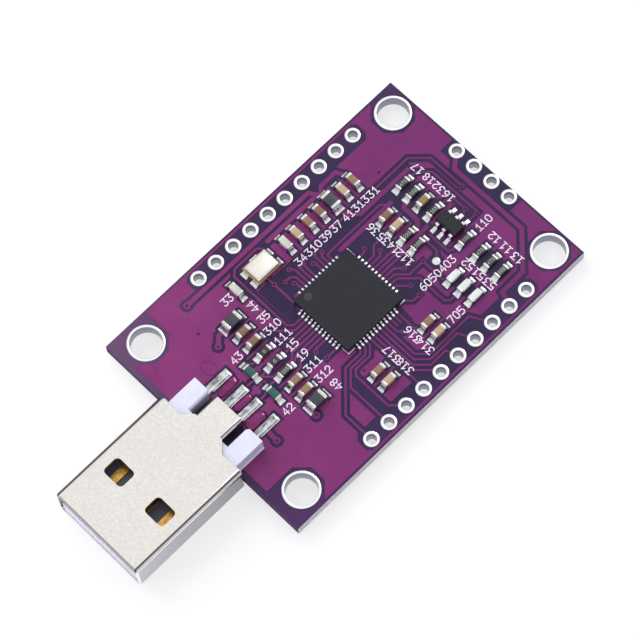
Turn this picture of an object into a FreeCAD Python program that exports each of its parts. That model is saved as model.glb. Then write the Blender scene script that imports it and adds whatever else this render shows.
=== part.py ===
import FreeCAD, Part
import math
import os

# Axes: the origin is the middle of the two long pin rows, on the board's underside.
# +Z points out of the populated face, +Y points away from the plug, sizes are in millimetres.

# Bare board
board_thickness = 1.6
foil = 0.04
side_margin = 1.45
far_margin = 2.4
plug_margin = 3.2

# Mounting holes
mounting_spacing_x = 22.86
mounting_spacing_y = 36.5
mounting_middle_y = -2.0
mounting_hole_diameter = 3.5
mounting_ring = 0.3

# Pin holes
pitch = 2.54
row_spacing = 25.4
pins_per_row = 10
end_pins = 4
end_row_x = 0.33
end_row_y = 17.78
pin_hole_diameter = 1.05
pin_ring = 0.35

# Copper rules
edge_gap = 0.25
plug_edge_gap = 0.6
trace = 0.22
power_trace = 0.5
clearance = 0.35
via_land = 0.28
power_end = 0.4
corner_clearance = 0.32
close_clearance = 0.2
test_land = 0.48
corner_gap = 0.5
smallest_island = 2.5

# Controller, a square flat package with leads along its four sides
controller_x = 0.43
controller_y = -2.47
controller_size = 8.0
controller_height = 0.85
controller_standoff = 0.06
controller_pitch = 0.5
leads_per_side = 12
lead_width = 0.26
lead_reach = 0.55
lead_height = 0.3
thermal_pad = 5.6

# Chip parts, small for resistors and capacitors, large for beads
small_length = 1.6
small_width = 0.8
small_pad_span = 2.8
large_length = 2.0
large_width = 1.25
large_pad_span = 3.1
cap_length = 0.36
cap_lip = 0.03
resistor_height = 0.45
capacitor_height = 0.8
bead_height = 0.9
protector_height = 0.5
led_height = 0.6
pad_width_factor = 1.1
joint_rise = 0.7

# Drawing of curves
round_tolerance = 0.025
corner_steps = 3
parallel_factor = 0.999
level_limit = 1e-6

# Crystal
crystal_x = -8.77
crystal_y = -6.0
crystal_width = 2.5
crystal_length = 3.2
crystal_base_height = 0.45
crystal_lid_height = 0.4
crystal_lid_inset = 0.12
crystal_lid_corner = 0.25
crystal_pad_reach = 0.5
crystal_pad_width = 1.05

# Six-lead memory chip
memory_x = 2.05
memory_y = 11.1
memory_length = 2.9
memory_width = 1.6
memory_height = 1.1
memory_standoff = 0.1
memory_draft = 0.08
memory_pitch = 0.95
memory_lead_width = 0.4
memory_lead_thickness = 0.13
memory_lead_span = 2.9
memory_pad_span = 3.8
memory_pad_width = 0.56

# Plug shell, folded from one sheet
plug_x = 0.5
shell_width = 12.0
shell_height = 4.5
shell_length = 14.7
shell_drop = 0.6
shell_gap = 0.25
sheet = 0.3
bend_radius = 0.6
mouth_chamfer = 0.18
seam = 0.08
window_width = 2.7
window_length = 2.15
window_radius = 0.45
window_spacing = 6.0
window_setback = 6.1
tail_width = 3.9
tail_length = 4.05
tail_shoulder = 1.15
tail_inner_radius = 0.08

# Insulator and contacts of the plug
fit = 0.05
cavity_depth = 12.0
tongue_side_gap = 0.15
tongue_setback = 0.35
wing_inset = 1.05
wing_length = 3.75
wing_slot_width = 5.5
wing_slot_length = 2.9
wing_corner = 0.35
wing_round = 0.35
wing_foot = 0.15
contact_width = 1.0
contact_tail_width = 0.85
contact_thickness = 0.2
contact_nose_length = 0.4
contact_spacing_outer = 7.04
contact_spacing_inner = 2.0
contact_setback_outer = 1.2
contact_setback_inner = 2.2
contact_tail_y = -16.65
contact_pad_width = 1.15
contact_pad_length = 2.9

board_top = board_thickness
face = board_top - foil
board_far = mounting_middle_y + mounting_spacing_y / 2 + far_margin
board_near = mounting_middle_y - mounting_spacing_y / 2 - plug_margin
board_half = row_spacing / 2 + side_margin
pin_land_radius = pin_hole_diameter / 2 + pin_ring
mounting_land_radius = mounting_hole_diameter / 2 + mounting_ring
shell_rear = board_near - shell_gap
shell_front = shell_rear - shell_length
shell_bottom = -shell_drop
shell_top = shell_bottom + shell_height
controller_half = controller_size / 2
slot_half = wing_slot_width / 2
os.makedirs("parts", exist_ok=True)


def save(node, shape):
    """Write one sub-part to its own file."""
    shape.exportStep("parts/" + node + ".step")


def box(width, length, height, x=0.0, y=0.0, z=0.0):
    """A box centred on x and y, standing on z."""
    corner = FreeCAD.Vector(x - width / 2, y - length / 2, z)
    return Part.makeBox(width, length, height, corner)


def outline(points):
    """A flat face at z = 0 inside straight lines through the points."""
    corners = [FreeCAD.Vector(x, y, 0) for x, y in points]
    return Part.Face(Part.makePolygon(corners + corners[:1]))


def rectangle(x_low, y_low, x_high, y_high):
    """A flat rectangle at z = 0."""
    return outline([(x_low, y_low), (x_high, y_low), (x_high, y_high), (x_low, y_high)])


def chamfered(x_low, y_low, x_high, y_high, cut):
    """A flat rectangle with its four corners cut at 45 degrees."""
    return outline([
        (x_low + cut, y_low), (x_high - cut, y_low), (x_high, y_low + cut), (x_high, y_high - cut),
        (x_high - cut, y_high), (x_low + cut, y_high), (x_low, y_high - cut), (x_low, y_low + cut),
    ])


def regular(x, y, reach, sides, turn=0.0):
    """A flat shape of equal sides at z = 0, its corners at one reach from its middle."""
    angles = [2 * math.pi * (k + turn) / sides for k in range(sides)]
    return outline([(x + reach * math.cos(angle), y + reach * math.sin(angle)) for angle in angles])


def octagon(x, y, radius):
    """A flat regular octagon with two sides along X, its sides at one radius from its middle."""
    return regular(x, y, radius / math.cos(math.pi / 8), 8, 0.5)


def land(x, y, radius):
    """A flat round land at z = 0, drawn with sides that stay within the round tolerance of its circle."""
    sides = math.ceil(math.pi / math.acos(1 - round_tolerance / radius))
    return regular(x, y, radius, sides)


def window(x, y, width, length, radius):
    """A flat window with rounded corners, each corner in equal steps."""
    corners = []
    for turn in range(4):
        side_x = 1 if turn in (0, 3) else -1
        side_y = 1 if turn in (0, 1) else -1
        middle_x = x + side_x * (width / 2 - radius)
        middle_y = y + side_y * (length / 2 - radius)
        for k in range(corner_steps + 1):
            angle = math.pi / 2 * (turn + k / corner_steps)
            corners.append((middle_x + radius * math.cos(angle), middle_y + radius * math.sin(angle)))
    return outline(corners)


def ribbon(points, width):
    """A flat strip of one width along a bent line, mitred at its bends and square at its ends."""
    spots = [FreeCAD.Vector(x, y, 0) for x, y in points]
    runs = [(b - a).normalize() for a, b in zip(spots, spots[1:])]
    half = width / 2
    spots[0] = spots[0] - runs[0] * half
    spots[-1] = spots[-1] + runs[-1] * half
    sides = []
    for k, spot in enumerate(spots):
        before = runs[max(k - 1, 0)]
        after = runs[min(k, len(runs) - 1)]
        across = FreeCAD.Vector(-before.y - after.y, before.x + after.x, 0)
        sides.append(across * (width / across.dot(across)))
    left = [spot + side for spot, side in zip(spots, sides)]
    right = [spot - side for spot, side in zip(spots, sides)]
    corners = right + left[::-1]
    return Part.Face(Part.makePolygon(corners + corners[:1]))


def united(faces):
    """One set of flat faces that covers what the given faces cover."""
    pieces = faces[0].multiFuse(faces[1:]).Faces
    return Part.makeShell(pieces).removeSplitter()


def raised(flat, z, height):
    """Solids of one height over every face of a flat shape."""
    solids = []
    for piece in flat.Faces:
        solid = piece.extrude(FreeCAD.Vector(0, 0, height)).Solids[0]
        if solid.Volume < 0:
            solid.reverse()
        solid.translate(FreeCAD.Vector(0, 0, z))
        solids.append(solid)
    return Part.Compound(solids)


def prism_x(profile, width, x=0.0):
    """A solid of one width along X over a profile of (y, z) points, centred on x."""
    corners = [FreeCAD.Vector(x - width / 2, y, z) for y, z in profile]
    flat = Part.Face(Part.makePolygon(corners + corners[:1]))
    return flat.extrude(FreeCAD.Vector(width, 0, 0))


def turned(shape, quarter_turns, x, y):
    """A copy of a shape turned about Z and moved to its place."""
    copy = shape.copy()
    copy.rotate(FreeCAD.Vector(0, 0, 0), FreeCAD.Vector(0, 0, 1), 90 * quarter_turns)
    copy.translate(FreeCAD.Vector(x, y, 0))
    return copy


def rounded_along(solid, direction, radius):
    """The solid with every edge along one direction rounded."""
    edges = [e for e in solid.Edges if abs(e.tangentAt(e.FirstParameter).dot(direction)) > parallel_factor]
    return solid.makeFillet(radius, edges)


# Places of the pin holes and mounting holes

def left_pin(n):
    return (-row_spacing / 2, pitch * ((pins_per_row + 1) / 2 - n))


def right_pin(n):
    return (row_spacing / 2, pitch * ((pins_per_row + 1) / 2 - n))


def end_pin(n):
    return (end_row_x + pitch * (n - (end_pins + 1) / 2), end_row_y)


pin_holes = [left_pin(n) for n in range(1, pins_per_row + 1)]
pin_holes += [right_pin(n) for n in range(1, pins_per_row + 1)]
pin_holes += [end_pin(n) for n in range(1, end_pins + 1)]
mounting_holes = [
    (side * mounting_spacing_x / 2, mounting_middle_y + end * mounting_spacing_y / 2)
    for side in (-1, 1) for end in (-1, 1)
]


# Places of the chip parts: (x, y, quarter turns from lying along X)
column_x = -8.85
column_y = (7.6, 6.05, 2.6, 0.95, -0.8, -2.4)
bottom_row_y = -12.45
top_row_y = 11.05
second_row_y = 7.15

resistors = [(x, bottom_row_y, 1) for x in (-1.85, -0.3, 1.2)]
resistors += [(x, top_row_y, 1) for x in (-4.85, -3.35, -0.35, 4.3, 6.4, 7.95, 9.5)]
resistors += [(x, second_row_y, 1) for x in (-0.4, 1.15)]
capacitors = [(column_x, y, 0) for y in column_y]
capacitors += [(-8.8, -9.7, 0)]
capacitors += [(x, bottom_row_y, 1) for x in (-4.9, -3.4, 2.75, 4.25)]
capacitors += [(-1.85, top_row_y, 1), (-3.45, second_row_y, 1), (-1.9, second_row_y, 1)]
capacitors += [(8.05, 1.65, 1), (9.55, 1.65, 1), (8.1, -5.75, 1), (9.6, -5.75, 1)]
beads = [(column_x, 4.3, 0), (-6.6, bottom_row_y, 1), (5.85, bottom_row_y, 1)]
leds = [(x, second_row_y, 1) for x in (6.35, 7.9, 9.45)]
protectors = [(-1.3, -15.0, 0), (2.1, -15.0, 0)]


def end_of(place, end, reach=(small_length + small_pad_span) / 4):
    """The middle of a chip part's pad, at its left or lower end (-1) or its other end (1)."""
    x, y, turns = place
    return (x, y + end * reach) if turns else (x + end * reach, y)


def lead(side, n):
    """The pad of the controller's lead n, counted from the left or from the top along its side."""
    along = controller_pitch * (n - (leads_per_side + 1) / 2)
    out = controller_half + lead_reach / 2
    spots = {
        "left": (controller_x - out, controller_y - along),
        "right": (controller_x + out, controller_y - along),
        "top": (controller_x + along, controller_y + out),
        "bottom": (controller_x + along, controller_y - out),
    }
    return spots[side]


# Solder on the chip pads

def chip_joints(place, length, width, pad_span, height):
    """The two wedges of solder at the ends of a chip part, each over its pad."""
    x, y, turns = place
    rise = foil + height * joint_rise
    profile = [(length / 2, 0), (pad_span / 2, 0), (length / 2, rise)]
    wedge = prism_x(profile, width * pad_width_factor)
    wedge.translate(FreeCAD.Vector(0, 0, face))
    return [turned(wedge, turns - 1, x, y), turned(wedge, turns + 1, x, y)]


joints = []
for place in resistors:
    joints += chip_joints(place, small_length, small_width, small_pad_span, resistor_height)
for place in capacitors:
    joints += chip_joints(place, small_length, small_width, small_pad_span, capacitor_height)
for place in beads:
    joints += chip_joints(place, large_length, large_width, large_pad_span, bead_height)
for place in leds:
    joints += chip_joints(place, small_length, small_width, small_pad_span, led_height)
for place in protectors:
    joints += chip_joints(place, small_length, small_width, small_pad_span, protector_height)

# Crystal pads, two beyond each short end
crystal_profile = [
    (crystal_length / 2, 0), (crystal_length / 2 + crystal_pad_reach, 0),
    (crystal_length / 2, foil + crystal_base_height * joint_rise),
]
for side in (-1, 1):
    shift = side * (crystal_width - crystal_pad_width) / 2
    wedge = prism_x(crystal_profile, crystal_pad_width, shift)
    wedge.translate(FreeCAD.Vector(0, 0, face))
    joints += [turned(wedge, 0, crystal_x, crystal_y), turned(wedge, 2, crystal_x, crystal_y)]

# Memory chip pads, three beyond each long side
memory_pad_length = (memory_pad_span - memory_lead_span) / 2 + memory_lead_width
for n in (-1, 0, 1):
    for side in (-1, 1):
        middle = memory_y + side * (memory_pad_span - memory_pad_length) / 2
        spot_x = memory_x + n * memory_pitch
        joints.append(box(memory_pad_width, memory_pad_length, foil, spot_x, middle, face))

# Pads under the plug's contact tails
contact_plan = [
    (plug_x - contact_spacing_outer / 2, contact_setback_outer),
    (plug_x - contact_spacing_inner / 2, contact_setback_inner),
    (plug_x + contact_spacing_inner / 2, contact_setback_inner),
    (plug_x + contact_spacing_outer / 2, contact_setback_outer),
]
contact_x = [x for x, setback in contact_plan]
contact_pad_y = contact_tail_y - contact_pad_length / 2 + clearance
for x in contact_x:
    joints.append(box(contact_pad_width, contact_pad_length, foil, x, contact_pad_y, face))

# Controller leads: a row of solder toes along each side and the pad beneath the body
toe = [(controller_half, 0), (controller_half + lead_reach, 0), (controller_half, foil + lead_height)]
leads = []
for n in range(1, leads_per_side + 1):
    along = controller_pitch * (n - (leads_per_side + 1) / 2)
    single = prism_x(toe, lead_width, along)
    single.translate(FreeCAD.Vector(0, 0, face))
    leads += [turned(single, turns, controller_x, controller_y) for turns in range(4)]
leads.append(box(thermal_pad, thermal_pad, foil + controller_standoff, controller_x, controller_y, face))

# Routes of the copper on the populated face: (width, points)
signal_routes = [
    [(-6.62, 8.6), (-6.62, 13.55), (-4.9, 15.27), (-0.25, 15.27)],
    [end_of(resistors[3], 1), (-4.85, 13.0), (-4.1, 13.75), (-3.6, 14.25), (3.0, 14.25), (3.0, 13.0)],
    [end_of(resistors[5], 1), (-0.35, 13.1), (0.15, 13.62), (1.6, 13.62), (2.05, 13.15)],
    [(1.1, 9.4), (1.3, 8.9), (3.9, 8.9), end_of(resistors[6], -1)],
    [(1.6, 8.15), (2.9, 8.15), (3.75, 7.3)],
    [lead("left", 2), (-4.75, -0.22), (-4.95, 0.05), (-4.95, 7.7), (-4.4, 8.25)],
    [lead("left", 3), (-5.15, -0.72), (-5.55, -0.3)],
    [lead("left", 4), (-5.7, -1.22), (-6.7, -0.2), (-6.7, 7.4)],
    [lead("left", 5), (-5.25, -1.72)],
    [lead("left", 7), (-5.8, -2.72), (-6.3, -2.22)],
    [lead("left", 8), (-6.2, -3.22)],
    [lead("left", 9), (-6.15, -3.72), (-6.6, -4.15)],
    [lead("left", 10), (-5.45, -4.22), (-5.9, -4.67), (-5.9, -5.4)],
    [lead("left", 11), (-5.1, -4.72)],
    [(-7.4, -6.4), (-3.6, -6.4)],
    [lead("top", 1), (-2.32, 2.7), (-2.6, 3.0)],
    [lead("top", 3), (-1.32, 3.1), (-2.15, 3.93), (-2.15, 5.6), end_of(capacitors[13], -1)],
    [lead("top", 4), (-0.82, 3.55), (-1.3, 4.03)],
    [lead("top", 5), (-0.32, 4.6), end_of(resistors[10], -1)],
    [lead("top", 6), (0.18, 5.6)],
    [lead("top", 7), (0.68, 5.35), end_of(resistors[11], -1)],
    [lead("top", 8), (1.18, 3.55), (1.95, 4.35), (1.95, 5.3), (1.6, 5.65)],
    [lead("top", 9), (1.68, 3.1), (2.8, 4.22), (2.8, 6.25), (5.8, 6.25), end_of(leds[0], -1)],
    [lead("top", 10), (2.18, 2.95), (3.88, 4.65), (7.45, 4.65), (7.9, 5.1), end_of(leds[1], -1)],
    [lead("top", 11), (2.68, 2.3), (3.8, 3.4)],
    [(4.35, 1.6), (5.15, 2.4), (5.15, 3.3)],
    [lead("right", 1), (7.2, 0.28), end_of(capacitors[14], -1)],
    [lead("right", 2), (5.9, -0.22)],
    [lead("right", 3), (5.85, -0.72)],
    [lead("right", 4), (6.3, -1.22), (6.8, -0.85)],
    [lead("right", 5), (9.4, -1.72), (10.5, -0.62), (10.5, 5.15), right_pin(3)],
    [lead("right", 6), (9.75, -2.22), (10.95, -1.02), (10.95, 2.95), right_pin(4)],
    [lead("right", 7), (10.1, -2.72), (11.4, -1.42), (11.4, 0.75), right_pin(5)],
    [lead("right", 8), (10.4, -3.22), (11.9, -1.75), right_pin(6)],
    [lead("right", 9), (11.8, -3.72), right_pin(7)],
    [lead("right", 10), (5.35, -4.22), (6.2, -5.07), (6.2, -7.15), (6.7, -7.65), (11.4, -7.65), right_pin(8)],
    [lead("right", 11), (5.15, -4.72), (5.8, -5.37), (5.8, -7.5), (7.25, -8.95), (11.8, -8.95), right_pin(9)],
    [
        lead("right", 12), (5.1, -5.35), (5.35, -5.6), (5.35, -7.8), (9.0, -11.45), (11.8, -11.45),
        right_pin(10),
    ],
    [
        lead("bottom", 2), (-1.82, -8.2), (-2.32, -8.7), (-10.1, -8.7), (-10.72, -8.1), (-10.72, -4.85),
        (-10.4, -4.5),
    ],
    [lead("bottom", 3), (-1.32, -8.5), (-2.9, -10.1), (-3.4, -10.6), end_of(capacitors[8], 1)],
    [lead("bottom", 4), (-0.82, -9.3), (-2.0, -10.5), end_of(resistors[0], 1)],
    [lead("bottom", 5), (-0.32, -10.2), end_of(resistors[1], 1)],
    [lead("bottom", 6), (0.18, -10.4), (0.75, -11.0), (0.75, -13.6), (-0.3, -14.6)],
    [lead("bottom", 7), (0.68, -10.2), end_of(resistors[2], 1)],
    [lead("bottom", 8), (1.18, -10.2), (2.0, -11.0), (2.0, -14.0)],
    [lead("bottom", 9), (1.68, -8.4), (1.9, -8.65)],
    [lead("bottom", 12), (3.18, -8.35)],
    [(-2.6, -11.3), (-2.6, -14.1)],
    [end_of(resistors[0], -1), (-1.85, -14.2), (-2.3, -14.65)],
    [end_of(resistors[1], -1), end_of(protectors[0], 1)],
    [end_of(resistors[2], -1), end_of(protectors[1], -1)],
    [(-0.2, -15.0), (contact_x[1], -15.6), (contact_x[1], contact_tail_y)],
    [(1.0, -15.0), (contact_x[2], -15.6), (contact_x[2], contact_tail_y)],
]
power_routes = [
    [(-5.7, 12.6), (-5.7, 5.5), (-6.7, 4.5), end_of(beads[0], 1)],
    [end_pin(1), (-2.2, 16.1), (7.6, 16.1), (11.1, 12.6), (11.1, 9.5), right_pin(2)],
    [end_of(beads[0], -1), (-11.35, 3.4), (-11.35, -14.4)],
    [(-4.3, 8.6), (-4.3, 1.2)],
    [(0.35, 9.3), (0.35, 5.9)],
    [end_of(capacitors[0], -1), (-10.95, 7.1), (-10.95, 4.9), (-10.4, 4.4)],
    [(-10.5, 3.4), (-10.5, -3.4)],
    [end_of(resistors[4], -1), (-2.9, 9.2), (-0.9, 9.2), (-0.4, 8.7)],
    [end_of(beads[1], -1), (-6.6, -14.4), (-5.75, -15.3)],
    [end_of(beads[2], -1), (6.85, -13.55)],
    [(contact_x[3], -18.2), (5.9, -18.3)],
]
power_ends = [(-11.35, -14.4), (-5.75, -15.3), (6.85, -13.55), (5.9, -18.3)]
vias = [
    (-7.65, 10.3), (-5.55, -0.3), (-5.25, -1.9), (-6.6, -4.15), (-5.1, -4.85), (-5.9, -5.4), (-6.5, -6.4),
    (-8.25, -15.75), (3.18, -8.35), (1.9, -8.65), (-2.6, 3.0),
    (-1.3, 4.03), (1.95, 4.35), (2.8, 6.25), (3.8, 3.4), (5.15, 3.3), (-0.25, 15.27), (3.0, 14.1),
    (1.85, 13.6), (6.8, -0.85), (10.7, 1.85), (6.9, -6.65),
]
test_point = (3.75, 7.25)

# Fields with no copper round the pins, the mounting holes and the fans of traces
row_end = pitch * (pins_per_row - 1) / 2 + pin_land_radius + corner_gap / 2
row_inner = row_spacing / 2 - pin_land_radius - corner_gap
row_outer = row_spacing / 2 + pin_land_radius + edge_gap / 2
end_half = pitch * (end_pins - 1) / 2 + pin_land_radius + clearance
end_row_low = end_row_y - pin_land_radius - clearance
bare_fields = [
    chamfered(-row_outer, -row_end, -row_inner, row_end, corner_gap),
    chamfered(row_inner, -row_end, row_outer, right_pin(2)[1] + pin_land_radius + clearance, corner_gap),
    rectangle(end_row_x - end_half, end_row_low, end_row_x + end_half, board_far),
    rectangle(-board_half, board_near, board_half, board_near + plug_edge_gap),
    outline([(-7.2, 8.3), (-4.15, 8.3), (-4.15, -6.5), (-2.0, -6.8), (-2.0, -8.2), (-7.2, -8.2)]),
    outline([(-4.2, 1.8), (5.0, 1.8), (5.0, 4.4), (2.2, 4.4), (2.2, 5.9), (-4.2, 5.9)]),
    outline([(-2.1, -6.6), (3.6, -6.6), (3.6, -7.6), (2.5, -11.0), (-2.6, -11.0), (-1.2, -9.0)]),
    outline([(4.6, 1.0), (6.6, 0.9), (7.2, -1.2), (6.0, -4.7), (4.6, -5.3)]),
    outline([(-7.5, -11.0), (-5.7, -11.0), (-5.7, -13.9), (-7.5, -13.9)]),
    rectangle(-5.0, 9.9, -0.1, 12.2),
    rectangle(5.8, 9.9, 10.1, 12.2),
    rectangle(5.8, 6.4, 10.0, 8.0),
    rectangle(plug_x - slot_half, board_near, plug_x + slot_half, board_near + wing_length),
]
for x, y in mounting_holes:
    margin = corner_clearance if (x < 0 or y < 0) else close_clearance
    bare_fields.append(octagon(x, y, mounting_land_radius + margin))
for x, y in pin_holes:
    bare_fields.append(octagon(x, y, pin_land_radius + clearance))

# Three corners are bare from the octagon round the hole out to the board's edges
corner_reach = mounting_land_radius + corner_clearance
corner_half = corner_reach * math.tan(math.pi / 8)
hole_x = mounting_spacing_x / 2
far_hole_y = mounting_middle_y + mounting_spacing_y / 2
near_hole_y = mounting_middle_y - mounting_spacing_y / 2
bare_fields += [
    rectangle(-board_half, far_hole_y - corner_half, -hole_x + corner_half, board_far),
    rectangle(-board_half, board_near, -hole_x + corner_half, near_hole_y + corner_reach),
    rectangle(hole_x - corner_reach, board_near, board_half, near_hole_y + corner_half),
]


def cleared(routes, width):
    """The same routes, widened by the clearance on both sides."""
    return [ribbon(points, width + 2 * clearance) for points in routes]


def footprints(solids, grow):
    """Flat rectangles under the given solids, grown by a margin."""
    flats = []
    for solid in solids:
        limits = solid.BoundBox
        limits.enlarge(grow)
        flats.append(rectangle(limits.XMin, limits.YMin, limits.XMax, limits.YMax))
    return flats


# Copper on the populated face: one poured field, opened round everything it doesn't join, then the routes
field_half = board_half - edge_gap
field = rectangle(-field_half, board_near + edge_gap, field_half, board_far - edge_gap)
openings = bare_fields + cleared(signal_routes, trace) + cleared(power_routes, power_trace)
openings += footprints(joints, clearance / 2)
openings += [land(x, y, power_end + clearance) for x, y in power_ends]
openings.append(octagon(*test_point, test_land + clearance))
pour = field.cut(Part.Compound(openings))
kept_pour = [piece for piece in pour.Faces if piece.Area > smallest_island]
tracks = [ribbon(points, trace) for points in signal_routes]
tracks += [ribbon(points, power_trace) for points in power_routes]
tracks += [land(x, y, via_land) for x, y in vias]
tracks += [land(x, y, power_end) for x, y in power_ends]
copper = united(kept_pour + tracks)
lands = [land(x, y, pin_land_radius) for x, y in pin_holes]
lands += [land(x, y, mounting_land_radius) for x, y in mounting_holes]
test_pad = land(*test_point, test_land)
copper = copper.cut(Part.Compound(lands + [test_pad] + footprints(joints + leads, 0)))
save("top_copper", raised(copper, face, foil))

# Copper on the underside: one field, kept clear of the pins and the mounting holes
under_openings = [
    chamfered(-row_outer, -row_end, -row_inner, row_end, corner_gap),
    chamfered(row_inner, -row_end, row_outer, row_end, corner_gap),
    rectangle(end_row_x - end_half, end_row_low, end_row_x + end_half, board_far),
]
under_openings += [octagon(x, y, mounting_land_radius + clearance) for x, y in mounting_holes]
save("bottom_copper", raised(field.cut(Part.Compound(under_openings)), 0, foil))

# Board, drilled for every plated hole
board_middle_y = (board_far + board_near) / 2
board = box(2 * board_half, board_far - board_near, board_thickness - 2 * foil, 0, board_middle_y, foil)
save("circuit_board", board.cut(raised(Part.Compound(lands), 0, board_thickness)))

# Plated holes, tinned from the bore out to the edge of the land
pin_rings = [land(x, y, pin_land_radius).cut(land(x, y, pin_hole_diameter / 2)) for x, y in pin_holes]
save("header_hole_plating", raised(Part.Compound(pin_rings), 0, board_thickness))
mounting_barrels = []
for x, y in mounting_holes:
    barrel = raised(land(x, y, mounting_land_radius), 0, board_thickness).Solids[0]
    bore = Part.makeCylinder(mounting_hole_diameter / 2, board_thickness, FreeCAD.Vector(x, y, 0))
    mounting_barrels.append(barrel.cut(bore))
save("mounting_hole_plating", Part.Compound(mounting_barrels))

save("solder_joints", Part.Compound(joints + raised(test_pad, face, foil).Solids))
save("controller_leads", Part.Compound(leads))

# Controller body, seated on the pad beneath it
controller_low = board_top + controller_standoff
controller = box(
    controller_size, controller_size, controller_height, controller_x, controller_y, controller_low)
save("controller_body", controller)


def chip(length, width, height):
    """A chip part along X, seated on the copper: a body between two end caps that stand proud of it."""
    end = length / 2
    step = end - cap_length
    top = board_top + height
    profile = [
        (-end, board_top), (end, board_top), (end, top), (step, top),
        (step, top - cap_lip), (-step, top - cap_lip), (-step, top), (-end, top),
    ]
    return turned(prism_x(profile, width), 1, 0, 0)


def save_chips(name, places, length, width, height):
    """One node for each chip part of a kind."""
    model = chip(length, width, height)
    for number, (x, y, turns) in enumerate(places, 1):
        save(name + "_" + str(number), turned(model, turns, x, y))


save_chips("resistor", resistors, small_length, small_width, resistor_height)
save_chips("capacitor", capacitors, small_length, small_width, capacitor_height)
save_chips("bead", beads, large_length, large_width, bead_height)
save_chips("led", leds, small_length, small_width, led_height)
save_chips("protector", protectors, small_length, small_width, protector_height)

# Crystal: a ceramic base and a metal lid
base = box(crystal_width, crystal_length, crystal_base_height, crystal_x, crystal_y, board_top)
save("crystal_base", base)
lid_half_x = crystal_width / 2 - crystal_lid_inset
lid_half_y = crystal_length / 2 - crystal_lid_inset
lid = chamfered(
    crystal_x - lid_half_x, crystal_y - lid_half_y, crystal_x + lid_half_x, crystal_y + lid_half_y,
    crystal_lid_corner)
save("crystal_lid", raised(lid, board_top + crystal_base_height, crystal_lid_height))

# Memory chip: a body with drafted sides and six bent leads
memory_low = board_top + memory_standoff
memory_mid = board_top + (memory_standoff + memory_height) / 2


def memory_section(inset, z):
    """The outline of the memory body at one height, drawn in by its draft."""
    half_x = memory_length / 2 - inset
    half_y = memory_width / 2 - inset
    corners = [
        FreeCAD.Vector(memory_x + side_x * half_x, memory_y + side_y * half_y, z)
        for side_x, side_y in ((-1, -1), (1, -1), (1, 1), (-1, 1))
    ]
    return Part.makePolygon(corners + corners[:1])


waist = memory_section(0, memory_mid)
lower_half = Part.makeLoft([memory_section(memory_draft, memory_low), waist], True, True)
upper_half = Part.makeLoft([waist, memory_section(memory_draft, board_top + memory_height)], True, True)
save("memory_body", lower_half.fuse(upper_half))

thick = memory_lead_thickness
knee = memory_width / 2 + (memory_lead_span - memory_width) / 4
toe_end = memory_lead_span / 2
gull_low = memory_mid - thick / 2
gull_high = memory_mid + thick / 2
gull = [
    (memory_width / 2, gull_low), (knee - thick, gull_low), (knee - thick / 2, board_top),
    (toe_end, board_top), (toe_end, board_top + thick), (knee + thick, board_top + thick),
    (knee, gull_high), (memory_width / 2, gull_high),
]
memory_leads = []
for n in (-1, 0, 1):
    single = prism_x(gull, memory_lead_width, n * memory_pitch)
    memory_leads += [turned(single, turns, memory_x, memory_y) for turns in (0, 2)]
save("memory_leads", Part.Compound(memory_leads))

# Plug shell: a closed box section with a seam beneath, four windows and a tail over the insulator
along_y = FreeCAD.Vector(0, 1, 0)
shell_middle = (shell_front + shell_rear) / 2
inner_width = shell_width - 2 * sheet
inner_height = shell_height - 2 * sheet
outer = box(shell_width, shell_length, shell_height, plug_x, shell_middle, shell_bottom)
inner = box(inner_width, shell_length, inner_height, plug_x, shell_middle, shell_bottom + sheet)
inner = rounded_along(inner, along_y, bend_radius - sheet)
outer = rounded_along(outer, along_y, bend_radius)
mouth_edges = [edge for edge in outer.Edges if abs(edge.CenterOfMass.y - shell_front) < level_limit]
shell = outer.makeChamfer(mouth_chamfer, mouth_edges).cut(inner)
window_y = shell_front + window_setback
for side in (-1, 1):
    flat = window(plug_x + side * window_spacing / 2, window_y, window_width, window_length, window_radius)
    shell = shell.cut(raised(flat, shell_bottom, shell_height))
shell = shell.cut(box(seam, shell_length, sheet, plug_x, shell_middle, shell_bottom))
shoulder_end = shell_rear + tail_shoulder
tail_half = tail_width / 2
plate = outline([
    (plug_x - tail_half - tail_shoulder, shell_rear), (plug_x + tail_half + tail_shoulder, shell_rear),
    (plug_x + tail_half, shoulder_end), (plug_x - tail_half, shoulder_end),
])
channel_length = tail_length - tail_shoulder
channel_height = shell_top - board_top
channel_middle = shoulder_end + channel_length / 2
channel = box(tail_width, channel_length, channel_height, plug_x, channel_middle, board_top)
hollow_width = tail_width - 2 * sheet
hollow = box(hollow_width, channel_length, channel_height - sheet, plug_x, channel_middle, board_top)


def top_rounded(solid, inset, radius):
    """The solid with the two long edges of its upper face rounded, each at one inset from the middle of X."""
    top = solid.BoundBox.ZMax
    edges = [
        edge for edge in solid.Edges
        if abs(edge.CenterOfMass.z - top) < level_limit
        and abs(abs(edge.CenterOfMass.x - plug_x) - inset) < level_limit
    ]
    return solid.makeFillet(radius, edges)


channel = top_rounded(channel, tail_half, tail_inner_radius + sheet)
shell = shell.fuse([
    raised(plate, shell_top - sheet, sheet).Solids[0],
    channel.cut(top_rounded(hollow, hollow_width / 2, tail_inner_radius)),
]).removeSplitter()
save("usb_shell", shell)

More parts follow.
